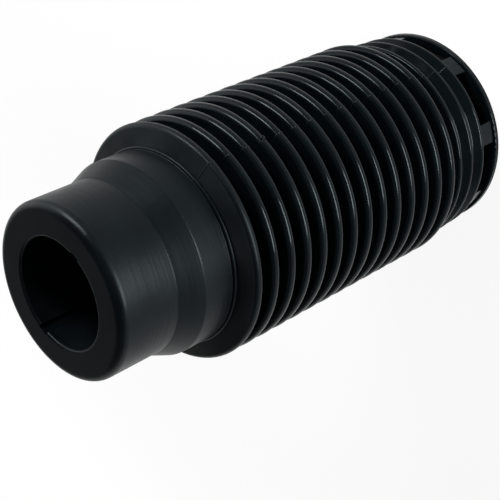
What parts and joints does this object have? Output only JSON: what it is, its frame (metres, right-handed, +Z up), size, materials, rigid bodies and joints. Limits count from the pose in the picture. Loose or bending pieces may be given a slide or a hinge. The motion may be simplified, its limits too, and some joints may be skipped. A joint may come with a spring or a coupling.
{
  "type": "bellows boot",
  "caption": "Long rubber bellows boot with a thick bored nose, deep round folds and a ribbed collar that ends in a ring of vent windows.",
  "frame": {"origin": "centre of the rim's underside, at the wide end", "axes": "+Z up the boot's axis towards the nose; XZ is the mould's parting plane, through two opposite window bars and both vent grooves of the nose bore"},
  "size_m": [0.07, 0.07, 0.1521],
  "materials": {
    "rubber": "matt moulded black rubber"
  },
  "bodies": {
    "root": {"bellows_boot": "rubber"}
  },
  "joints": []
}
